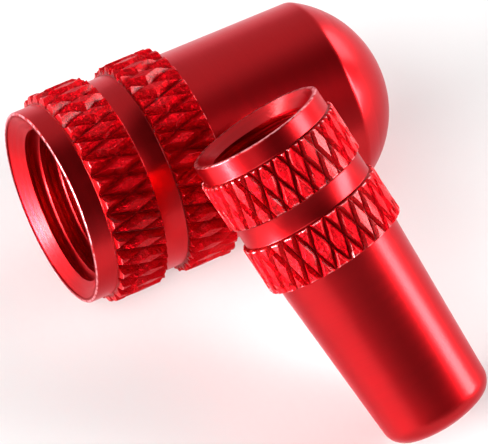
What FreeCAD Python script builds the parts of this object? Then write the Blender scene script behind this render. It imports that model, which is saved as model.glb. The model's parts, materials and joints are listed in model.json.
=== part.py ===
import FreeCAD
import Part
import math
import os

# A pair of tyre valve dust caps, each turned from aluminium bar and knurled in two bands.
# The wide cap fits the wide, car type valve and holds a rubber sealing washer.
# The slim cap fits the narrow bicycle racing valve and leans on the wide one, as photographed.
# Millimetres. +Z is up and the table is at Z = 0. The origin is under the middle of the pair.
# The wide cap's mouth looks towards -X. The slim cap's closed end stands on the table, at -Y.

Vector = FreeCAD.Vector


class Wide:
    """The wide cap. Stations run along its axis from the mouth to the closed end."""

    # Thread of the wide valve: 0.305 inch across, 32 turns to the inch
    valve_radius = 7.747 / 2
    pitch = 25.4 / 32
    thread_end = 8.4
    mouth_chamfer = 0.55

    # Seat for the sealing washer, wider than the thread so that the washer stays in
    seat_relief = 0.05
    seat_length = 1.8

    # Metal outside the thread's roots
    lip_wall = 0.68
    body_wall = 0.58
    body_taper = 0.02
    knurl_height = 0.4

    # Lengths in order from the mouth
    lip_length = 1.0
    band_length = 2.45
    ring_length = 1.1
    body_length = 6.9
    crown_height = 2.75

    # Edges
    end_round = 0.5
    band_bevel = 0.1
    rim_edge = 0.08

    # Knurl
    knurl_count = 32
    knurl_helix = 17.7
    knurl_land = 0.38
    knurl_row = 2.46
    spin = 8.45


class Slim:
    """The slim cap, with the same stations as the wide one."""

    # Thread of the narrow valve: 5.2 mm across, 24 turns to the inch
    valve_radius = 5.2 / 2
    pitch = 25.4 / 24
    thread_end = 6.4
    mouth_chamfer = 0.32

    # Plain bore beyond the thread, which takes the valve's pin and its lock nut
    nose_length = 3.4
    drill_point = 118.0

    # Metal outside the thread's roots
    lip_wall = 0.55
    body_wall = 0.37
    body_taper = 0.4
    knurl_height = 0.2

    # Lengths in order from the mouth
    lip_length = 0.9
    band_length = 2.38
    ring_length = 1.0
    body_length = 8.7
    crown_height = 0.62

    # Edges
    end_round = 0.9
    band_bevel = 0.07
    rim_edge = 0.06

    # Knurl
    knurl_count = 28
    knurl_helix = 16.6
    knurl_land = 0.42
    knurl_row = 1.64
    spin = 2.76


# Sealing washer
SEAL_THICKNESS = 1.2
SEAL_HOLE_RADIUS = 1.9
SEAL_CLEARANCE = 0.05
SEAL_EDGE = 0.15

# Thread form, both caps: a free fit. Depth and width of the groove are shares of the pitch.
THREAD_FLANK = 30.0
THREAD_CLEARANCE = 0.05
CREST_DEPTH = 0.43
ROOT_FLAT = 0.25

# Depth of the mouth's chamfer over its width, both caps
MOUTH_SLOPE = 0.6

# How the pair lies
LEAN = 40.35
HEADING = -76.35
CROSSING = 8.25
REST_CLEARANCE = 0.08

# Lengths that only keep cutters clear of the faces they pass
OVERRUN = 0.05
MESH_STEP = 0.02


def bore_radius(cap):
    """Radius of the thread's crests, which is the hole before it is tapped."""
    return cap.valve_radius + THREAD_CLEARANCE - CREST_DEPTH * cap.pitch


def root_radius(cap):
    """Radius of the thread's roots."""
    return cap.valve_radius + THREAD_CLEARANCE


def lip_radius(cap):
    """Radius of the smooth lip and of the ring between the bands."""
    return root_radius(cap) + cap.lip_wall


def knurl_radius(cap):
    """Radius over the tops of the knurls."""
    return lip_radius(cap) + cap.knurl_height


def body_radius(cap):
    """Radius of the smooth body next to the second band."""
    return root_radius(cap) + cap.body_wall


def body_end_radius(cap):
    """Radius of the smooth body where the crown begins."""
    return body_radius(cap) - cap.body_taper


def seat_radius(cap):
    """Radius of the relief that holds the washer."""
    return root_radius(cap) + cap.seat_relief


def band_starts(cap):
    """Stations where the two knurled bands begin."""
    first = cap.lip_length
    return [first, first + cap.band_length + cap.ring_length]


def body_start(cap):
    """Station where the smooth body begins."""
    return band_starts(cap)[1] + cap.band_length


def crown_start(cap):
    """Station where the body ends and the crown begins."""
    return body_start(cap) + cap.body_length


def total_length(cap):
    return crown_start(cap) + cap.crown_height


def outline(cap):
    """Corner points of the outside as (radius, station), from the rim to the crown."""
    points = [(lip_radius(cap) - cap.rim_edge, 0.0)]
    points.append((lip_radius(cap), cap.rim_edge))
    below = lip_radius(cap)
    above = [lip_radius(cap), body_radius(cap)]
    for start, after in zip(band_starts(cap), above):
        end = start + cap.band_length
        points.append((below, start))
        points.append((knurl_radius(cap), start + cap.band_bevel))
        points.append((knurl_radius(cap), end - cap.band_bevel))
        points.append((after, end))
        below = after
    points.append((body_end_radius(cap), crown_start(cap)))
    return points


def on_profile(point):
    """A point of the profile plane, from radius and station."""
    return Vector(point[0], 0, point[1])


def turned_blank(cap):
    """The cap's outside as one solid of revolution, with the crown's edge rounded."""
    corners = outline(cap)
    edges = []
    for first, second in zip(corners[:-1], corners[1:]):
        edges.append(Part.makeLine(on_profile(first), on_profile(second)))
    end = corners[-1]
    top = total_length(cap)
    sphere = (end[0] ** 2 + cap.crown_height ** 2) / (2 * cap.crown_height)
    half_angle = math.asin(end[0] / sphere) / 2
    middle = (sphere * math.sin(half_angle), top - sphere + sphere * math.cos(half_angle))
    edges.append(Part.Arc(on_profile(end), on_profile(middle), on_profile((0, top))).toShape())
    edges.append(Part.makeLine(on_profile((0, top)), on_profile((0, 0))))
    edges.append(Part.makeLine(on_profile((0, 0)), on_profile(corners[0])))
    blank = Part.Face(Part.Wire(edges)).revolve(Vector(0, 0, 0), Vector(0, 0, 1), 360)
    crease = []
    for edge in blank.Edges:
        box = edge.BoundBox
        flat = box.ZLength < 0.01
        if flat and abs(box.ZMin - crown_start(cap)) < 0.01 and box.XLength > 0.1:
            crease.append(edge)
    return blank.makeFillet(cap.end_round, crease)


def groove_cutter(cap, angle, station, hand):
    """A straight V-shaped bar that cuts one knurl groove across one band."""
    top = knurl_radius(cap)
    depth = cap.knurl_height
    spacing = 2 * math.pi * top / cap.knurl_count
    across = spacing * math.cos(math.radians(cap.knurl_helix))
    half_width = (across - cap.knurl_land) / 2
    slope = half_width / depth
    reach = depth + OVERRUN
    half_length = cap.band_length / math.cos(math.radians(cap.knurl_helix)) / 2 + depth
    corners = [
        Vector(top - depth, 0, -half_length),
        Vector(top + OVERRUN, slope * reach, -half_length),
        Vector(top + OVERRUN, -slope * reach, -half_length),
    ]
    face = Part.Face(Part.makePolygon(corners + [corners[0]]))
    bar = face.extrude(Vector(0, 0, 2 * half_length))
    bar.rotate(Vector(0, 0, 0), Vector(1, 0, 0), -hand * cap.knurl_helix)
    bar.translate(Vector(0, 0, station))
    bar.rotate(Vector(0, 0, 0), Vector(0, 0, 1), angle)
    return bar


def knurled(cap, blank):
    """Cuts both hands of grooves across both bands. One wheel made them, so they line up."""
    climb = math.tan(math.radians(cap.knurl_helix)) / knurl_radius(cap)
    for start in band_starts(cap):
        station = start + cap.band_length / 2
        turn = math.degrees((station - cap.knurl_row) * climb)
        for hand in (1, -1):
            bars = []
            for count in range(cap.knurl_count):
                angle = count * 360.0 / cap.knurl_count + hand * turn
                bars.append(groove_cutter(cap, angle, station, hand))
            blank = blank.cut(Part.makeCompound(bars))
    return blank


def thread_turns(cap):
    """The groove of a right-hand inside thread, as turns in a row from outside the mouth."""
    root = root_radius(cap)
    inner = bore_radius(cap) - OVERRUN
    half_root = ROOT_FLAT * cap.pitch / 2
    half_open = half_root + (root - inner) * math.tan(math.radians(THREAD_FLANK))
    corners = [
        Vector(inner, 0, -half_open),
        Vector(root, 0, -half_root),
        Vector(root, 0, half_root),
        Vector(inner, 0, half_open),
    ]
    section = Part.makePolygon(corners + [corners[0]])
    spine = Part.makeHelix(cap.pitch, cap.pitch, root)
    turn = Part.Wire(spine.Edges).makePipeShell([section], True, True)
    turns = []
    for count in range(-1, round(cap.thread_end / cap.pitch)):
        copy = turn.copy()
        copy.translate(Vector(0, 0, count * cap.pitch))
        turns.append(copy)
    return turns


def drilled(cap, depth):
    """The hole before it is tapped, with its wall in four quarters so that crests stay short."""
    quarters = []
    for count in range(4):
        quarter = Part.makeCylinder(bore_radius(cap), depth, Vector(), Vector(0, 0, 1), 90)
        quarter.rotate(Vector(0, 0, 0), Vector(0, 0, 1), count * 90)
        quarters.append(quarter)
    return quarters[0].fuse(quarters[1:])


def mouth_cone(cap):
    """The chamfer that leads the valve into the thread."""
    outer = root_radius(cap) + cap.mouth_chamfer
    height = (outer - bore_radius(cap)) * MOUTH_SLOPE + OVERRUN
    widest = outer + OVERRUN / MOUTH_SLOPE
    return Part.makeCone(widest, bore_radius(cap), height, Vector(0, 0, -OVERRUN))


def make_wide_cap():
    """The wide cap's shell: bored, relieved for its washer, and threaded."""
    cap = Wide
    shell = knurled(cap, turned_blank(cap))
    bore = drilled(cap, cap.thread_end)
    seat = Part.makeCylinder(seat_radius(cap), cap.seat_length, Vector(0, 0, cap.thread_end))
    hollow = bore.fuse([seat, mouth_cone(cap)])
    return shell.cut(hollow).cut(thread_turns(cap))


def make_wide_seal():
    """The rubber washer that lies on the floor of the wide cap's bore."""
    cap = Wide
    radius = seat_radius(cap) - SEAL_CLEARANCE
    floor = cap.thread_end + cap.seat_length
    low = Vector(0, 0, floor - SEAL_THICKNESS)
    disc = Part.makeCylinder(radius, SEAL_THICKNESS, low)
    rims = []
    for edge in disc.Edges:
        if edge.BoundBox.ZLength < 0.01:
            rims.append(edge)
    disc = disc.makeFillet(SEAL_EDGE, rims)
    return disc.cut(Part.makeCylinder(SEAL_HOLE_RADIUS, SEAL_THICKNESS, low))


def make_slim_cap():
    """The slim cap's shell: drilled with a pointed drill, and threaded near the mouth."""
    cap = Slim
    shell = knurled(cap, turned_blank(cap))
    radius = bore_radius(cap)
    depth = total_length(cap) - cap.nose_length
    bore = drilled(cap, depth)
    point = radius / math.tan(math.radians(cap.drill_point / 2))
    tip = Part.makeCone(radius, 0, point, Vector(0, 0, depth))
    hollow = bore.fuse([tip, mouth_cone(cap)])
    return shell.cut(hollow).cut(thread_turns(cap))


def resting_tilt():
    """Angle of the wide cap, which rests on its second band and on the end of its body."""
    cap = Wide
    edge = body_start(cap) - cap.band_bevel
    drop = knurl_radius(cap) - body_end_radius(cap)
    return math.atan2(drop, crown_start(cap) - edge)


def axis_from(heading, fall):
    """Direction of a cap's axis, from the mouth to the closed end, in degrees."""
    level = math.cos(math.radians(fall))
    along = math.cos(math.radians(heading))
    aside = math.sin(math.radians(heading))
    return Vector(level * along, level * aside, -math.sin(math.radians(fall)))


def placed(shape, mouth, axis, spin):
    """The shape with its mouth at a point and its axis along a direction."""
    turn = FreeCAD.Rotation(Vector(0, 0, 1), axis)
    twist = FreeCAD.Rotation(Vector(0, 0, 1), spin)
    copy = shape.copy()
    copy.Placement = FreeCAD.Placement(mouth, turn.multiply(twist))
    return copy


def mesh_points(shape):
    return shape.tessellate(MESH_STEP)[0]


def lowest(shape):
    return min(point.z for point in mesh_points(shape))


def envelope_radius(cap, station):
    """Outside radius of a cap at a station, over the tops of its knurls."""
    corners = outline(cap)
    if station < 0 or station > total_length(cap):
        return -1.0
    if station >= crown_start(cap):
        end = body_end_radius(cap)
        sphere = (end ** 2 + cap.crown_height ** 2) / (2 * cap.crown_height)
        height = station - (total_length(cap) - sphere)
        return math.sqrt(max(sphere ** 2 - height ** 2, 0.0))
    for first, second in zip(corners[:-1], corners[1:]):
        if first[1] <= station <= second[1]:
            share = (station - first[1]) / max(second[1] - first[1], 1e-9)
            return first[0] + share * (second[0] - first[0])
    return corners[-1][0]


def nearest(points, shift, mouth, axis):
    """Least distance from shifted points to the wide cap's envelope, negative if inside."""
    least = 1000.0
    for point in points:
        arm = point.add(shift).sub(mouth)
        station = arm.dot(axis)
        if station < 0 or station > total_length(Wide):
            continue
        across = arm.sub(Vector(axis).multiply(station)).Length
        least = min(least, across - envelope_radius(Wide, station))
    return least


def main():
    os.makedirs("parts", exist_ok=True)
    tilt = resting_tilt()
    wide_axis = axis_from(0.0, math.degrees(tilt))
    wide_cap = make_wide_cap()
    wide_mouth = Vector(0, 0, -lowest(placed(wide_cap, Vector(), wide_axis, Wide.spin)))

    slim_axis = axis_from(HEADING, LEAN)
    slim_cap = make_slim_cap()
    leaning = placed(slim_cap, Vector(), slim_axis, Slim.spin)
    points = mesh_points(leaning)
    height = -min(point.z for point in points)

    # The slim cap slides in from -Y until it lies against the wide one.
    near = -knurl_radius(Wide) - total_length(Slim)
    far = 0.0
    for _ in range(24):
        middle = (near + far) / 2
        shift = Vector(CROSSING, middle, height)
        if nearest(points, shift, wide_mouth, wide_axis) > REST_CLEARANCE:
            near = middle
        else:
            far = middle
    slim_mouth = Vector(CROSSING, near, height)

    pieces = {
        "wide_cap": placed(wide_cap, wide_mouth, wide_axis, Wide.spin),
        "wide_cap_seal": placed(make_wide_seal(), wide_mouth, wide_axis, Wide.spin),
        "slim_cap": placed(slim_cap, slim_mouth, slim_axis, Slim.spin),
    }

    # The frame's origin goes under the middle of the pair's bounding box.
    cloud = mesh_points(pieces["wide_cap"]) + mesh_points(pieces["slim_cap"])
    middle_x = (min(point.x for point in cloud) + max(point.x for point in cloud)) / 2
    middle_y = (min(point.y for point in cloud) + max(point.y for point in cloud)) / 2
    home = Vector(-middle_x, -middle_y, 0)
    for name, shape in pieces.items():
        shape.translate(home)
        shape.exportStep(os.path.join("parts", name + ".step"))
        print(name, "solids", len(shape.Solids), "volume", round(shape.Volume, 2))
    print("wide mouth", wide_mouth.add(home), "axis", wide_axis, "tilt", math.degrees(tilt))
    print("slim mouth", slim_mouth.add(home), "axis", slim_axis)


main()
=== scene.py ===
"""Looks for a pair of anodised tyre valve dust caps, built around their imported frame."""
import json
import math
from types import SimpleNamespace

import bpy
from bpy.props import FloatProperty, FloatVectorProperty, IntProperty, PointerProperty
from bpy.types import Operator, Panel, PropertyGroup
from mathutils import Matrix, Vector


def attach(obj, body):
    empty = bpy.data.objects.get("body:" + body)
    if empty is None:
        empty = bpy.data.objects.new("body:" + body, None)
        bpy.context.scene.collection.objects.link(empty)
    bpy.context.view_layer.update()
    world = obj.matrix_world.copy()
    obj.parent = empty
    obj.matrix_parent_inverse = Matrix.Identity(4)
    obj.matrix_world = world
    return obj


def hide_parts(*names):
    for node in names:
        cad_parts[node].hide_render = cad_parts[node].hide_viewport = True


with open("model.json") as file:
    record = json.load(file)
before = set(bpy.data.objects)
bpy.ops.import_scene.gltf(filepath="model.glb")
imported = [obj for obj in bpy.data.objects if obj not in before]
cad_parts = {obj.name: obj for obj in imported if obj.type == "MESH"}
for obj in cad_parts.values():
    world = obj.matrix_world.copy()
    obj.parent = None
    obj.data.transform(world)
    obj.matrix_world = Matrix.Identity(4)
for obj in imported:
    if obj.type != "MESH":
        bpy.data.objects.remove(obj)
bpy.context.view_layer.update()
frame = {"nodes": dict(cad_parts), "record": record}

bl_info = {
    "name": "Valve cap pair",
    "version": (1, 0, 0),
    "blender": (4, 5, 0),
    "location": "3D View > Sidebar > Caps",
    "description": "Models two knurled tyre valve dust caps and the studio around them",
    "category": "Object",
}

# Caps are modelled in millimetres, mouth at the origin and axis along +Z, then put in place
MM = 0.001
SIDES = 192
THREAD_SIDES = 96
# Thread depth and root flat are shares of the pitch, and the mouth's slope is depth over width
THREAD_DEPTH = 0.43
ROOT_FLAT = 0.25
MOUTH_SLOPE = 0.6
SMOOTH_ANGLE = math.radians(28)
# Rounding at the foot and at the top of a band's bevels, in millimetres
FOOT_ROUND = 0.05
TOP_ROUND = 0.07
# The camera of the photograph
CAMERA_PLACE = (-0.061763, -0.133444, 0.230452)
CAMERA_FORWARD = (0.22589, 0.50064, -0.83566)
CAMERA_UP = (0.417, 0.72557, 0.54741)
CAMERA_LENS = 444.2
# Soft lights: name, centre, point they face, width and height in metres, power in watts
MIDDLE = (0, 0, 0.005)
LIGHTS = [
    ("right_box", (0.44, -0.18, 0.165), MIDDLE, 0.17, 0.34, 3.9),
    ("right_back_box", (0.45, 0.19, 0.14), MIDDLE, 0.22, 0.28, 1.3),
    ("left_box", (-0.25, 0.02, 0.04), MIDDLE, 0.12, 0.078, 0.8),
    ("low_card", (-0.12, 0.010, 0.0075), MIDDLE, 0.07, 0.013, 0.42),
    ("back_card", (-0.15, 0.36, 0.06), MIDDLE, 0.05, 0.06, 0.22),
    ("table_box", (-0.33, -0.12, 0.40), (-0.12, -0.03, 0), 0.32, 0.32, 1.3),
]
MOUNTS = {mount["name"]: mount for mount in frame["record"]["mounts"]}


def size(name, text, millimetres):
    """A length that the user can change."""
    return FloatProperty(
        name=name,
        description=text,
        default=millimetres * MM,
        min=0.0,
        precision=5,
        subtype="DISTANCE",
    )


def angle(name, text, degrees):
    """An angle that the user can change."""
    return FloatProperty(
        name=name, description=text, default=math.radians(degrees), subtype="ANGLE"
    )


class WideCapSizes(PropertyGroup):
    """Sizes of the wide cap."""

    root_radius: size("Root radius", "Radius of the thread's roots", 3.9235)
    pitch: size("Pitch", "Advance of the thread in one turn", 25.4 / 32)
    thread_end: size("Thread end", "Depth of the thread from the mouth", 8.4)
    seat_relief: size("Seat relief", "How far the washer's seat is wider than the thread", 0.05)
    floor: size("Floor", "Depth of the bore's floor", 10.2)
    mouth_chamfer: size("Mouth chamfer", "Width of the chamfer outside the thread", 0.55)
    lip_wall: size("Lip wall", "Metal outside the thread at the lip and the ring", 0.68)
    body_wall: size("Body wall", "Metal outside the thread at the smooth body", 0.58)
    body_taper: size("Body taper", "How much slimmer the body is at its end", 0.02)
    knurl_height: size("Knurl height", "Height of the diamonds over the ring", 0.4)
    lip_length: size("Lip length", "Smooth lip before the first band", 1.0)
    band_length: size("Band length", "Length of each knurled band", 2.45)
    ring_length: size("Ring length", "Smooth ring between the bands", 1.1)
    body_length: size("Body length", "Smooth body after the second band", 6.9)
    crown_height: size("Crown height", "Height of the domed end", 2.75)
    end_round: size("End round", "Rounding of the edge between body and dome", 0.5)
    band_bevel: size("Band bevel", "Bevel at the ends of each band", 0.1)
    rim_edge: size("Rim edge", "Rounding of the outer rim", 0.08)
    knurl_count: IntProperty(name="Diamonds", description="Diamonds around a band", default=32)
    knurl_helix: angle("Helix", "Slope of the grooves against the axis", 17.7)
    knurl_land: size("Knurl land", "Width left between two grooves", 0.38)
    knurl_row: size("Knurl row", "Station of a row of groove crossings", 2.46)
    spin: angle("Spin", "Turn of the knurl about the axis", 8.45)


class SlimCapSizes(PropertyGroup):
    """Sizes of the slim cap."""

    root_radius: size("Root radius", "Radius of the thread's roots", 2.65)
    pitch: size("Pitch", "Advance of the thread in one turn", 25.4 / 24)
    thread_end: size("Thread end", "Depth of the thread from the mouth", 6.4)
    floor: size("Floor", "Depth of the plain bore", 12.58)
    drill_point: size("Drill point", "Depth of the pointed floor beyond the bore", 1.319)
    mouth_chamfer: size("Mouth chamfer", "Width of the chamfer outside the thread", 0.32)
    lip_wall: size("Lip wall", "Metal outside the thread at the lip and the ring", 0.55)
    body_wall: size("Body wall", "Metal outside the thread at the smooth body", 0.37)
    body_taper: size("Body taper", "How much slimmer the body is at its end", 0.4)
    knurl_height: size("Knurl height", "Height of the diamonds over the ring", 0.2)
    lip_length: size("Lip length", "Smooth lip before the first band", 0.9)
    band_length: size("Band length", "Length of each knurled band", 2.38)
    ring_length: size("Ring length", "Smooth ring between the bands", 1.0)
    body_length: size("Body length", "Smooth body after the second band", 8.7)
    crown_height: size("Crown height", "Height of the domed end", 0.62)
    end_round: size("End round", "Rounding of the edge between body and crown", 0.9)
    band_bevel: size("Band bevel", "Bevel at the ends of each band", 0.07)
    rim_edge: size("Rim edge", "Rounding of the outer rim", 0.06)
    knurl_count: IntProperty(name="Diamonds", description="Diamonds around a band", default=28)
    knurl_helix: angle("Helix", "Slope of the grooves against the axis", 16.6)
    knurl_land: size("Knurl land", "Width left between two grooves", 0.42)
    knurl_row: size("Knurl row", "Station of a row of groove crossings", 1.64)
    spin: angle("Spin", "Turn of the knurl about the axis", 2.76)


class FinishSettings(PropertyGroup):
    """Colours of the anodised metal and of the rubber."""

    dye: FloatVectorProperty(
        name="Dye",
        description="Colour of the anodised metal",
        subtype="COLOR",
        default=(0.52, 0.001, 0.005),
    )
    rubber: FloatVectorProperty(
        name="Rubber",
        description="Colour of the sealing washer",
        subtype="COLOR",
        default=(0.02, 0.02, 0.021),
    )


def in_millimetres(settings):
    """A cap's sizes as plain numbers, lengths in millimetres and angles in radians."""
    plain = {}
    for name in settings.__annotations__:
        value = getattr(settings, name)
        is_length = settings.bl_rna.properties[name].subtype == "DISTANCE"
        plain[name] = value / MM if is_length else value
    return SimpleNamespace(**plain)


def crest_radius(cap):
    """Radius of the thread's crests, which is the drilled hole's."""
    return cap.root_radius - THREAD_DEPTH * cap.pitch


def cone_depth(cap):
    """Depth of the chamfer that leads the valve into the thread."""
    return (cap.mouth_chamfer + cap.root_radius - crest_radius(cap)) * MOUTH_SLOPE


def lip_radius(cap):
    """Radius of the lip and of the ring between the bands."""
    return cap.root_radius + cap.lip_wall


def knurl_radius(cap):
    """Radius over the diamonds."""
    return lip_radius(cap) + cap.knurl_height


def band_starts(cap):
    """Stations where the two knurled bands begin, from the mouth."""
    return [cap.lip_length, cap.lip_length + cap.band_length + cap.ring_length]


def body_start(cap):
    """Station where the smooth body begins."""
    return band_starts(cap)[1] + cap.band_length


def crown_start(cap):
    """Station where the domed end begins."""
    return body_start(cap) + cap.body_length


def total_length(cap):
    """Length from the rim to the top of the dome."""
    return crown_start(cap) + cap.crown_height


# Modelling helpers


def start_clean():
    """Leaves edit mode and deselects everything."""
    if bpy.context.object and bpy.context.object.mode != "OBJECT":
        bpy.ops.object.mode_set(mode="OBJECT")
    bpy.ops.object.select_all(action="DESELECT")


def activate(piece):
    """Leaves one piece selected and active."""
    start_clean()
    piece.select_set(True)
    bpy.context.view_layer.objects.active = piece


def edit(piece):
    """Opens one piece in edit mode, by vertices."""
    activate(piece)
    bpy.ops.object.mode_set(mode="EDIT")
    bpy.ops.mesh.select_mode(type="VERT")


def apply_modifier(piece, kind, **values):
    """Adds one modifier with its values and applies it."""
    activate(piece)
    modifier = piece.modifiers.new(kind.title(), kind)
    for name, value in values.items():
        setattr(modifier, name, value)
    bpy.ops.object.modifier_apply(modifier=modifier.name)


def combine(piece, tool, operation):
    """Adds, cuts or intersects with a tool, which is used up."""
    apply_modifier(piece, "BOOLEAN", operation=operation, object=tool, solver="MANIFOLD")
    bpy.data.objects.remove(tool)


def chain(name, points):
    """A line of vertices in the XZ plane, extruded from point to point. Stays in edit mode."""
    start_clean()
    bpy.ops.mesh.primitive_plane_add(size=1, location=(0, 0, 0))
    piece = bpy.context.object
    piece.name = name
    edit(piece)
    bpy.ops.mesh.select_all(action="SELECT")
    bpy.ops.mesh.merge(type="CENTER")
    bpy.ops.transform.translate(value=(points[0][0], 0, points[0][1]))
    for last, point in zip(points, points[1:]):
        step = (point[0] - last[0], 0, point[1] - last[1])
        bpy.ops.mesh.extrude_vertices_move(TRANSFORM_OT_translate={"value": step})
    return piece


def tidy_normals():
    """Turns all normals outward and leaves edit mode."""
    bpy.ops.mesh.select_all(action="SELECT")
    bpy.ops.mesh.normals_make_consistent(inside=False)
    bpy.ops.object.mode_set(mode="OBJECT")


def turned(name, profile):
    """A closed turned solid from its profile, which runs from the axis to the axis."""
    piece = chain(name, profile)
    bpy.ops.mesh.select_all(action="SELECT")
    bpy.ops.mesh.spin(steps=SIDES, angle=2 * math.pi, center=(0, 0, 0), axis=(0, 0, 1))
    bpy.ops.mesh.select_all(action="SELECT")
    bpy.ops.mesh.remove_doubles(threshold=0.0005)
    tidy_normals()
    return piece


def filleted(points, corner, radius, steps):
    """The profile with one corner replaced by an arc."""
    before, middle, after = (Vector(points[corner + side]) for side in (-1, 0, 1))
    one = (before - middle).normalized()
    two = (after - middle).normalized()
    half = one.angle(two) / 2
    centre = middle + (one + two).normalized() * radius / math.sin(half)
    first = middle + one * radius / math.tan(half) - centre
    last = middle + two * radius / math.tan(half) - centre
    arc = []
    for step in range(steps + 1):
        share = step / steps
        arm = first.slerp(last, share).normalized() * radius
        arc.append(tuple(centre + arm))
    return points[:corner] + arc + points[corner + 1:]


def crown_points(cap, steps):
    """The domed end as points from the body's edge to the axis."""
    end = cap.root_radius + cap.body_wall - cap.body_taper
    sphere = (end ** 2 + cap.crown_height ** 2) / (2 * cap.crown_height)
    centre = total_length(cap) - sphere
    widest = math.asin(end / sphere)
    points = []
    for step in range(steps + 1):
        angle = widest * (1 - step / steps)
        points.append((sphere * math.sin(angle), centre + sphere * math.cos(angle)))
    return points


def outside(cap):
    """The outside profile from the rim to the crown's top, with small edges rounded."""
    lip = lip_radius(cap)
    top = knurl_radius(cap)
    body = cap.root_radius + cap.body_wall
    crown = crown_points(cap, 48)
    points = [(lip - 3 * cap.rim_edge, 0.0), (lip, 0.0)]
    below = lip
    for start, after in zip(band_starts(cap), (lip, body)):
        end = start + cap.band_length
        points += [(below, start), (top, start + cap.band_bevel)]
        points += [(top, end - cap.band_bevel), (after, end)]
        below = after
    crown_edge = len(points)
    points = filleted_far(points + crown, crown_edge, cap.end_round, 14)
    # Each band has four corners after the rim's: foot, top, top and foot
    for corner in range(crown_edge - 1, 1, -1):
        radius = FOOT_ROUND if corner in (2, 5, 6, 9) else TOP_ROUND
        points = filleted(points, corner, radius, 3)
    return filleted(points, 1, cap.rim_edge, 4)


def filleted_far(points, corner, radius, steps):
    """Rounds the crown's edge, which reaches past the first points of the dome."""
    before, middle = Vector(points[corner - 1]), Vector(points[corner])
    reach = corner + 1
    while True:
        trial = filleted([tuple(before), tuple(middle), points[reach]], 1, radius, steps)
        needed = (Vector(trial[steps + 1]) - middle).length
        if (Vector(points[reach]) - middle).length >= needed or reach > corner + 40:
            return points[:corner] + trial[1:-1] + points[reach:]
        reach += 1


def wide_inside(cap):
    """The hollow of the wide cap from the axis to its mouth, as profile points."""
    crest = crest_radius(cap)
    seat = cap.root_radius + cap.seat_relief
    cone = cone_depth(cap)
    points = [(0, cap.floor), (seat, cap.floor), (seat, cap.thread_end)]
    points += [(crest, cap.thread_end), (crest, cone)]
    return points + [(cap.root_radius + cap.mouth_chamfer, 0.0)]


def slim_inside(cap):
    """The hollow of the slim cap from its drilled point to its mouth."""
    crest = crest_radius(cap)
    cone = cone_depth(cap)
    points = [(0, cap.floor + cap.drill_point), (crest, cap.floor), (crest, cone)]
    return points + [(cap.root_radius + cap.mouth_chamfer, 0.0)]


def groove_side(cap):
    """One side of a groove's V: sharp at its floor, flared softly at its top."""
    top = knurl_radius(cap)
    above_ring = 0.012
    across = 2 * math.pi * top / cap.knurl_count * math.cos(cap.knurl_helix)
    half = (across - cap.knurl_land) / 2
    floor = top - cap.knurl_height + above_ring
    depth = cap.knurl_height - above_ring
    slope = half / depth
    soft = 0.10 * depth
    return [
        (floor, 0.03 * half),
        (floor + 0.04 * depth, 0.10 * half),
        (floor + depth - soft, (depth - soft) * slope),
        (floor + depth - 0.4 * soft, (depth - 0.25 * soft) * slope),
        (floor + depth, (depth + 0.55 * soft) * slope),
        (floor + depth + 0.03, (depth + 1.6 * soft) * slope),
    ]


def groove_bars(cap, hand):
    """Straight V bars for one hand of grooves in both bands. One is shaped, then copied."""
    top = knurl_radius(cap)
    tilt = cap.knurl_helix
    long = cap.band_length / math.cos(tilt) / 2 + cap.knurl_height
    side = groove_side(cap)
    section = [(x, -y) for x, y in reversed(side)] + side
    bar = chain("bars", section)
    bpy.ops.mesh.select_all(action="SELECT")
    bpy.ops.mesh.edge_face_add()
    bpy.ops.transform.rotate(
        value=math.pi / 2, orient_axis="X", orient_type="GLOBAL", center_override=(0, 0, 0)
    )
    bpy.ops.transform.translate(value=(0, 0, -long))
    bpy.ops.mesh.extrude_region_move(TRANSFORM_OT_translate={"value": (0, 0, 2 * long)})
    tidy_normals()
    climb = math.tan(tilt) / top
    copies = []
    for start in band_starts(cap):
        station = start + cap.band_length / 2
        turn = math.degrees((station - cap.knurl_row) * climb)
        for count in range(cap.knurl_count):
            angle = count * 360.0 / cap.knurl_count + hand * turn
            copy = bar.copy()
            copy.data = bar.data.copy()
            bpy.context.collection.objects.link(copy)
            copy.matrix_world = (
                Matrix.Rotation(math.radians(angle), 4, "Z")
                @ Matrix.Translation((0, 0, station))
                @ Matrix.Rotation(-hand * tilt, 4, "X")
            )
            copies.append(copy)
    bpy.data.objects.remove(bar)
    start_clean()
    for copy in copies:
        copy.select_set(True)
    bpy.context.view_layer.objects.active = copies[0]
    bpy.ops.object.transform_apply(location=True, rotation=True, scale=True)
    bpy.ops.object.join()
    edit(copies[0])
    tidy_normals()
    return copies[0]


def thread_tool(cap):
    """The thread's groove, wound from outside the mouth to the thread's end."""
    root = cap.root_radius
    clear = 0.04
    blunt = 0.02
    inner = crest_radius(cap) - clear
    half_root = ROOT_FLAT * cap.pitch / 2
    flank = math.tan(math.radians(30))
    half_open = half_root + (root - inner) * flank
    ease = 0.06 * cap.pitch
    side = [
        (root, half_root - 0.01),
        (root - blunt, half_root + 0.012),
        (inner + clear + ease, half_open - ease * flank - 0.03),
        (inner + clear, half_open - 0.01),
        (inner, half_open + clear),
    ]
    start = -cap.pitch
    points = [(x, start - z) for x, z in reversed(side)] + [(x, start + z) for x, z in side]
    tool = chain("thread", points)
    bpy.ops.mesh.select_all(action="SELECT")
    bpy.ops.mesh.edge_face_add()
    bpy.ops.mesh.delete(type="ONLY_FACE")
    bpy.ops.object.mode_set(mode="OBJECT")
    apply_modifier(
        tool,
        "SCREW",
        axis="Z",
        angle=2 * math.pi,
        screw_offset=cap.pitch,
        iterations=round(cap.thread_end / cap.pitch) + 1,
        steps=THREAD_SIDES,
        render_steps=THREAD_SIDES,
    )
    edit(tool)
    bpy.ops.mesh.select_all(action="SELECT")
    bpy.ops.mesh.fill_holes(sides=0)
    tidy_normals()
    return tool


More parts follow.
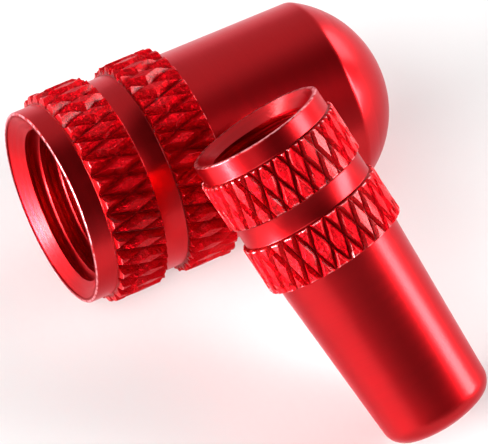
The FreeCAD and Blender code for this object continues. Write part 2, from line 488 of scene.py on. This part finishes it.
def cap_frame(mount_name, cone):
    """A cap's mouth and turn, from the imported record's mount."""
    mount = MOUNTS[mount_name]
    outward = Vector(mount["axis"])
    reach = mount["dims"]["length_mm"] / 2 + cone
    mouth = Vector(mount["pos_m"]) + outward * reach * MM
    return mouth, Vector((0, 0, 1)).rotation_difference(-outward)


def place(piece, mount_name, cone, spin):
    """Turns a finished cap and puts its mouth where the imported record's mount says."""
    mouth, turn = cap_frame(mount_name, cone)
    matrix = Matrix.Translation(mouth) @ turn.to_matrix().to_4x4()
    matrix = matrix @ Matrix.Rotation(spin, 4, "Z") @ Matrix.Scale(MM, 4)
    activate(piece)
    piece.matrix_world = matrix
    bpy.ops.object.transform_apply(location=True, rotation=True, scale=True)
    return mouth, turn


def finished_cap(name, cap, inside, mount_name):
    """Turns, knurls, taps and places one cap."""
    piece = turned(name, inside + outside(cap))
    for hand in (1, -1):
        combine(piece, groove_bars(cap, hand), "DIFFERENCE")
    combine(piece, thread_tool(cap), "DIFFERENCE")
    if len(piece.data.polygons) < 5000:
        raise RuntimeError(name + " lost its detail in a cut")
    where = place(piece, mount_name, cone_depth(cap), cap.spin)
    activate(piece)
    bpy.ops.object.shade_smooth_by_angle(angle=SMOOTH_ANGLE)
    return piece, where


# Materials


class Nodes:
    """A material's node tree, with short calls to add and link nodes."""

    def __init__(self, name):
        self.material = bpy.data.materials.new(name)
        self.material.use_nodes = True
        self.tree = self.material.node_tree
        self.shader = self.tree.nodes["Principled BSDF"]

    def add(self, kind, **values):
        node = self.tree.nodes.new(kind)
        for name, value in values.items():
            setattr(node, name, value)
        return node

    def link(self, source, target):
        if hasattr(source, "outputs"):
            source = source.outputs[0]
        self.tree.links.new(source, target)

    def put(self, value, socket):
        if isinstance(value, (int, float)):
            socket.default_value = value
        else:
            self.link(value, socket)

    def math(self, operation, one, two=None, clamp=False):
        node = self.add("ShaderNodeMath", operation=operation, use_clamp=clamp)
        self.put(one, node.inputs[0])
        if two is not None:
            self.put(two, node.inputs[1])
        return node

    def noise(self, vector, scale, detail=3.0, rough=0.5):
        node = self.add("ShaderNodeTexNoise")
        self.link(vector, node.inputs["Vector"])
        node.inputs["Scale"].default_value = scale
        node.inputs["Detail"].default_value = detail
        node.inputs["Roughness"].default_value = rough
        return node

    def ramp(self, value, low, high, start=0.0, end=1.0):
        node = self.add("ShaderNodeMapRange", interpolation_type="SMOOTHSTEP")
        self.link(value, node.inputs["Value"])
        node.inputs["From Min"].default_value = low
        node.inputs["From Max"].default_value = high
        node.inputs["To Min"].default_value = start
        node.inputs["To Max"].default_value = end
        return node

    def blend(self, share, one, two):
        node = self.add("ShaderNodeMix", data_type="RGBA")
        self.put(share, node.inputs[0])
        for value, socket in ((one, node.inputs[6]), (two, node.inputs[7])):
            if isinstance(value, tuple):
                socket.default_value = value
            else:
                self.link(value, socket)
        return node.outputs[2]

    def bump(self, height, strength, distance, under=None):
        node = self.add("ShaderNodeBump")
        self.link(height, node.inputs["Height"])
        node.inputs["Strength"].default_value = strength
        node.inputs["Distance"].default_value = distance
        if under is not None:
            self.link(under, node.inputs["Normal"])
        return node


def cap_space(nodes, where):
    """Object coordinates turned into the cap's own: millimetres, Z along its axis."""
    mouth, turn = where
    coords = nodes.add("ShaderNodeTexCoord")
    mapping = nodes.add("ShaderNodeMapping", vector_type="TEXTURE")
    nodes.link(coords.outputs["Object"], mapping.inputs["Vector"])
    mapping.inputs["Location"].default_value = mouth
    mapping.inputs["Rotation"].default_value = turn.to_euler()
    mapping.inputs["Scale"].default_value = (MM, MM, MM)
    return mapping


def stretched_noise(nodes, vector, scale, detail, rough, shift=0.0):
    """Noise drawn out along the cap's axis or around it."""
    mapping = nodes.add("ShaderNodeMapping")
    nodes.link(vector, mapping.inputs["Vector"])
    mapping.inputs["Location"].default_value = (0.0, 0.0, shift)
    mapping.inputs["Scale"].default_value = scale
    return nodes.noise(mapping, 1.0, detail, rough)


def axis_distance(nodes, parts):
    """Distance from the cap's axis, in millimetres."""
    around = nodes.add("ShaderNodeCombineXYZ")
    nodes.link(parts.outputs[0], around.inputs[0])
    nodes.link(parts.outputs[1], around.inputs[1])
    length = nodes.add("ShaderNodeVectorMath", operation="LENGTH")
    nodes.link(around, length.inputs[0])
    return length.outputs["Value"]


def knurl_mask(nodes, cap, radius, station):
    """One on the diamonds of both bands, nought on smooth metal."""
    in_band = None
    for start in band_starts(cap):
        end = start + cap.band_length
        enter = nodes.ramp(station, start - 0.02, start + 0.06)
        leave = nodes.ramp(station, end - 0.06, end + 0.02)
        inside = nodes.math("SUBTRACT", enter, leave)
        in_band = inside if in_band is None else nodes.math("ADD", in_band, inside, True)
    lip = lip_radius(cap)
    return nodes.math("MULTIPLY", in_band, nodes.ramp(radius, lip - 0.02, lip + 0.03), True)


def torn_marks(nodes, cap, local, station):
    """Strokes that the knurling wheels tore along both hands of the grooves."""
    torn = None
    for hand in (1, -1):
        climb = hand * math.tan(cap.knurl_helix) / knurl_radius(cap)
        unwound = nodes.add("ShaderNodeVectorRotate", rotation_type="Z_AXIS")
        nodes.link(local, unwound.inputs["Vector"])
        nodes.link(nodes.math("MULTIPLY", station, -climb), unwound.inputs["Angle"])
        marks = stretched_noise(nodes, unwound, (7.0, 7.0, 1.1), 4.0, 0.65, 7.0 * hand)
        torn = marks if torn is None else nodes.math("MAXIMUM", torn, marks)
    return torn


def painted_edge_glints(nodes, cap, radius, station, tops, local):
    """Painted highlights on the sharp edges: the rim, and the diamonds' tips at the bands'
    ends, broken into patches by noise.
    """
    inner = cap.root_radius + cap.mouth_chamfer
    land = nodes.ramp(radius, inner - 0.03, lip_radius(cap) - 0.1)
    edge_glint = nodes.math("MULTIPLY", nodes.ramp(station, 0.0, 0.05, 1.0, 0.0), land)
    for start in band_starts(cap):
        for end in (start, start + cap.band_length):
            near = nodes.math("ABSOLUTE", nodes.math("SUBTRACT", station, end))
            tip = nodes.math("MULTIPLY", nodes.ramp(near, 0.07, 0.14, 1.0, 0.0), tops)
            edge_glint = nodes.math("MAXIMUM", edge_glint, nodes.math("MULTIPLY", tip, 0.7))
    glint_patches = nodes.ramp(nodes.noise(local, 4.0, 3.0), 0.36, 0.56)
    return nodes.math("MULTIPLY", edge_glint, glint_patches)


def feed_marks(nodes, cap, radius, station):
    """The tool's feed marks just inside the mouth."""
    feed = 0.17
    wave = nodes.math("SINE", nodes.math("MULTIPLY", station, 2 * math.pi / feed))
    mouth_only = nodes.ramp(station, 0.9, 1.6, 1.0, 0.0)
    lip = lip_radius(cap)
    hollow = nodes.ramp(radius, lip - 0.12, lip - 0.06, 1.0, 0.0)
    return nodes.math("MULTIPLY", nodes.math("MULTIPLY", wave, mouth_only), hollow)


def anodised(name, cap, where, dye, coarse):
    """Dyed oxide over turned metal. Coarse is how rough the knurls came out."""
    nodes = Nodes(name)
    local = cap_space(nodes, where)
    parts = nodes.add("ShaderNodeSeparateXYZ")
    nodes.link(local, parts.inputs[0])
    radius = axis_distance(nodes, parts)
    station = parts.outputs[2]

    # Where the knurls and the hollow are
    lip = lip_radius(cap)
    knurl = knurl_mask(nodes, cap, radius, station)
    hollow = nodes.ramp(radius, cap.root_radius + 0.02, cap.root_radius + 0.1, 1.0, 0.0)
    tops = nodes.ramp(radius, knurl_radius(cap) - 0.06, knurl_radius(cap) - 0.005)
    floor = nodes.ramp(radius, lip + 0.02, lip + 0.6 * cap.knurl_height, 1.0, 0.0)
    pit = nodes.math("MULTIPLY", floor, knurl, True)

    # Turning marks in fine and broad rings, etched grain, and the knurls' tears
    rings = stretched_noise(nodes, local, (0.35, 0.35, 26.0), 4.0, 0.62)
    bands = stretched_noise(nodes, local, (0.2, 0.2, 3.5), 2.0, 0.5)
    grain = nodes.noise(local, 26.0, 5.0, 0.6)
    torn = torn_marks(nodes, cap, local, station)
    chewed = nodes.noise(local, 2.3, 3.0, 0.6)
    cloud = nodes.noise(local, 0.45, 3.0, 0.5)

    # Colour: darker tone in random clouds and turning rings, painted shade in the knurls' pits
    # and in the hollow, a painted highlight on the knurl tops, and pale pink painted highlights
    # on the rim and the diamonds' tips
    red = (dye[0], dye[1], dye[2], 1)
    # Darker red: random tone and turning rings, and painted shade in the pits and the hollow
    deep_tone_and_shade = (dye[0] * 0.62, dye[1] * 0.5, dye[2] * 0.5, 1)
    # Lighter red for the painted highlight on the knurl tops
    bright = (min(1.0, dye[0] * 1.25), 0.016, 0.024, 1)
    # Pale pink for the painted highlights on the sharp edges
    glint_pink = (0.95, 0.42, 0.45, 1)
    colour = nodes.blend(nodes.ramp(cloud, 0.35, 0.68, 0.0, 0.12), red, deep_tone_and_shade)
    colour = nodes.blend(nodes.ramp(rings, 0.38, 0.66, 0.0, 0.12), colour, deep_tone_and_shade)
    # Painted shade: the pits between the diamonds are darkened
    colour = nodes.blend(nodes.math("MULTIPLY", pit, 0.75), colour, deep_tone_and_shade)
    # Painted highlight: the knurl tops are lightened in patches along the tear strokes
    lit_knurl_tops = nodes.math("MULTIPLY", tops, knurl)
    lit_knurl_tops = nodes.math("MULTIPLY", lit_knurl_tops, nodes.ramp(torn, 0.50, 0.66))
    colour = nodes.blend(nodes.math("MULTIPLY", lit_knurl_tops, 0.5), colour, bright)
    # Painted shade: the hollow inside the cap is darkened
    colour = nodes.blend(nodes.math("MULTIPLY", hollow, 0.35), colour, deep_tone_and_shade)
    # Painted highlights: pale pink on the rim and on the diamonds' tips at the bands' ends
    colour = nodes.blend(painted_edge_glints(nodes, cap, radius, station, tops, local), colour, glint_pink)
    nodes.link(colour, nodes.shader.inputs["Base Color"])

    # Finish
    shine = nodes.ramp(bands, 0.35, 0.65, 0.30, 0.32)
    shine = nodes.math("ADD", shine, nodes.math("MULTIPLY", knurl, 0.06 + 0.08 * coarse))
    shine = nodes.math("ADD", shine, nodes.math("MULTIPLY", hollow, 0.06))
    shine = nodes.math("ADD", shine, nodes.ramp(grain, 0.3, 0.7, -0.02, 0.03))
    nodes.link(shine, nodes.shader.inputs["Roughness"])
    nodes.shader.inputs["Metallic"].default_value = 1.0
    nodes.shader.inputs["Specular Tint"].default_value = (1.0, 0.5, 0.55, 1)
    nodes.shader.inputs["Coat Weight"].default_value = 0.34
    nodes.shader.inputs["Coat IOR"].default_value = 1.5
    nodes.shader.inputs["Coat Roughness"].default_value = 0.24

    # Relief, with its heights in metres
    smooth = nodes.math("SUBTRACT", 1.0, knurl, True)
    relief = nodes.bump(nodes.math("MULTIPLY", rings, smooth), 0.035, 0.00004)
    torn_height = nodes.math("MULTIPLY", torn, knurl)
    relief = nodes.bump(torn_height, 0.45 + 0.45 * coarse, 0.00014, relief)
    chewed_height = nodes.math("MULTIPLY", chewed, knurl)
    relief = nodes.bump(chewed_height, 0.20 + 0.60 * coarse, 0.00030, relief)
    relief = nodes.bump(grain, 0.06, 0.00002, relief)
    relief = nodes.bump(feed_marks(nodes, cap, radius, station), 0.30, 0.00001, relief)
    nodes.link(relief, nodes.shader.inputs["Normal"])
    return nodes.material


def rubber(name, where, black):
    """Matt moulded rubber with a fine bloom."""
    nodes = Nodes(name)
    local = cap_space(nodes, where)
    bloom = nodes.noise(local, 1.6, 4.0, 0.6)
    grain = nodes.noise(local, 18.0, 5.0, 0.6)
    dark = (black[0], black[1], black[2], 1)
    pale = (black[0] * 2.6, black[1] * 2.6, black[2] * 2.6, 1)
    colour = nodes.blend(nodes.ramp(bloom, 0.4, 0.7), dark, pale)
    nodes.link(colour, nodes.shader.inputs["Base Color"])
    nodes.link(nodes.ramp(grain, 0.3, 0.7, 0.55, 0.78), nodes.shader.inputs["Roughness"])
    nodes.link(nodes.bump(grain, 0.35, 0.00004), nodes.shader.inputs["Normal"])
    return nodes.material


# Operators


class CAPS_OT_wide_cap(Operator):
    """Model the wide cap: turned, bored, knurled and tapped"""

    bl_idname = "caps.wide_cap"
    bl_label = "Wide cap"

    def execute(self, context):
        cap = in_millimetres(context.scene.caps_wide)
        piece, where = finished_cap("wide_cap_looks", cap, wide_inside(cap), "wide_cap_thread")
        finish = anodised("wide_anodised", cap, where, context.scene.caps_finish.dye, 1.0)
        piece.data.materials.clear()
        piece.data.materials.append(finish)
        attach(piece, "wide_cap_body")
        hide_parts("wide_cap")
        return {"FINISHED"}


class CAPS_OT_slim_cap(Operator):
    """Model the slim cap: turned, drilled, knurled and tapped"""

    bl_idname = "caps.slim_cap"
    bl_label = "Slim cap"

    def execute(self, context):
        cap = in_millimetres(context.scene.caps_slim)
        piece, where = finished_cap("slim_cap_looks", cap, slim_inside(cap), "slim_cap_thread")
        finish = anodised("slim_anodised", cap, where, context.scene.caps_finish.dye, 0.6)
        piece.data.materials.clear()
        piece.data.materials.append(finish)
        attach(piece, "slim_cap_body")
        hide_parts("slim_cap")
        return {"FINISHED"}


class CAPS_OT_washer(Operator):
    """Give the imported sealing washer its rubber"""

    bl_idname = "caps.washer"
    bl_label = "Sealing washer"

    def execute(self, context):
        cap = in_millimetres(context.scene.caps_wide)
        where = cap_frame("wide_cap_thread", cone_depth(cap))
        washer = frame["nodes"]["wide_cap_seal"]
        finish = rubber("washer_rubber", where, context.scene.caps_finish.rubber)
        for slot in washer.material_slots:
            slot.material = finish
        return {"FINISHED"}


class CAPS_OT_stage(Operator):
    """Set up the floor, the soft lights and the camera"""

    bl_idname = "caps.stage"
    bl_label = "Stage"

    def execute(self, context):
        make_floor()
        make_lights()
        make_camera(context.scene)
        context.scene.view_settings.view_transform = "Standard"
        return {"FINISHED"}


def make_floor():
    """A plain pale floor, matt, that keeps the caps' shadow."""
    start_clean()
    bpy.ops.mesh.primitive_plane_add(size=1.6, location=(0, 0, 0))
    floor = bpy.context.object
    floor.name = "floor"
    nodes = Nodes("floor_white")
    nodes.shader.inputs["Base Color"].default_value = (0.8, 0.8, 0.8, 1)
    nodes.shader.inputs["Roughness"].default_value = 0.9
    nodes.shader.inputs["Specular IOR Level"].default_value = 0.1
    floor.data.materials.append(nodes.material)


def softbox(name, centre, target, width, height, power):
    """A rectangular soft light that faces a point."""
    start_clean()
    bpy.ops.object.light_add(type="AREA", location=centre)
    light = bpy.context.object
    light.name = name
    light.data.shape = "RECTANGLE"
    light.data.size = width
    light.data.size_y = height
    light.data.energy = power
    light.rotation_euler = (Vector(target) - Vector(centre)).to_track_quat("-Z", "Y").to_euler()


def world_ramp(tree, value, low, high, start, end):
    """A smooth change of the world's light along one direction."""
    node = tree.nodes.new("ShaderNodeMapRange")
    node.interpolation_type = "SMOOTHSTEP"
    tree.links.new(value, node.inputs["Value"])
    for socket, number in zip(node.inputs[1:5], (low, high, start, end)):
        socket.default_value = number
    return node.outputs[0]


def make_lights():
    """The soft lights, and a world that is bright at the horizon and dark overhead."""
    for light in LIGHTS:
        softbox(*light)
    world = bpy.context.scene.world or bpy.data.worlds.new("studio")
    bpy.context.scene.world = world
    world.use_nodes = True
    tree = world.node_tree
    tree.nodes.clear()
    coords = tree.nodes.new("ShaderNodeTexCoord")
    split = tree.nodes.new("ShaderNodeSeparateXYZ")
    tree.links.new(coords.outputs["Generated"], split.inputs[0])
    # The back stays bright higher up than the sides and the front
    sides = world_ramp(tree, split.outputs[2], 0.0, 0.75, 0.6, 0.06)
    back = world_ramp(tree, split.outputs[2], 0.66, 0.92, 0.84, 0.10)
    share = world_ramp(tree, split.outputs[1], 0.05, 0.40, 0.0, 1.0)
    strength = tree.nodes.new("ShaderNodeMix")
    tree.links.new(share, strength.inputs[0])
    tree.links.new(sides, strength.inputs[2])
    tree.links.new(back, strength.inputs[3])
    sky = tree.nodes.new("ShaderNodeBackground")
    tree.links.new(strength.outputs[0], sky.inputs["Strength"])
    out = tree.nodes.new("ShaderNodeOutputWorld")
    tree.links.new(sky.outputs[0], out.inputs[0])


def make_camera(scene):
    """The photograph's own viewpoint."""
    start_clean()
    bpy.ops.object.camera_add(location=CAMERA_PLACE)
    camera = bpy.context.object
    forward = Vector(CAMERA_FORWARD).normalized()
    right = forward.cross(Vector(CAMERA_UP)).normalized()
    up = right.cross(forward)
    turn = Matrix((right, up, -forward)).transposed()
    camera.rotation_euler = turn.to_euler()
    camera.data.sensor_width = 36.0
    camera.data.lens = CAMERA_LENS
    camera.data.clip_start = 0.01
    scene.camera = camera


class CAPS_PT_panel(Panel):
    """Sizes, colours and buttons in the sidebar"""

    bl_idname = "CAPS_PT_panel"
    bl_label = "Valve cap pair"
    bl_space_type = "VIEW_3D"
    bl_region_type = "UI"
    bl_category = "Caps"

    def draw(self, context):
        layout = self.layout
        for title, group in (("Wide cap", "caps_wide"), ("Slim cap", "caps_slim")):
            box = layout.box()
            box.label(text=title)
            settings = getattr(context.scene, group)
            for name in settings.__annotations__:
                box.prop(settings, name)
        finish = layout.box()
        finish.prop(context.scene.caps_finish, "dye")
        finish.prop(context.scene.caps_finish, "rubber")
        for operator in OPERATORS:
            layout.operator(operator.bl_idname)


OPERATORS = [CAPS_OT_wide_cap, CAPS_OT_slim_cap, CAPS_OT_washer, CAPS_OT_stage]
GROUPS = [WideCapSizes, SlimCapSizes, FinishSettings]
CLASSES = GROUPS + OPERATORS + [CAPS_PT_panel]


def register():
    for item in CLASSES:
        bpy.utils.register_class(item)
    bpy.types.Scene.caps_wide = PointerProperty(type=WideCapSizes, name="Wide cap")
    bpy.types.Scene.caps_slim = PointerProperty(type=SlimCapSizes, name="Slim cap")
    bpy.types.Scene.caps_finish = PointerProperty(type=FinishSettings, name="Finish")


def unregister():
    del bpy.types.Scene.caps_finish
    del bpy.types.Scene.caps_slim
    del bpy.types.Scene.caps_wide
    for item in reversed(CLASSES):
        bpy.utils.unregister_class(item)


def main():
    register()
    bpy.ops.caps.stage()
    bpy.ops.caps.wide_cap()
    bpy.ops.caps.slim_cap()
    bpy.ops.caps.washer()


if __name__ == "__main__":
    main()
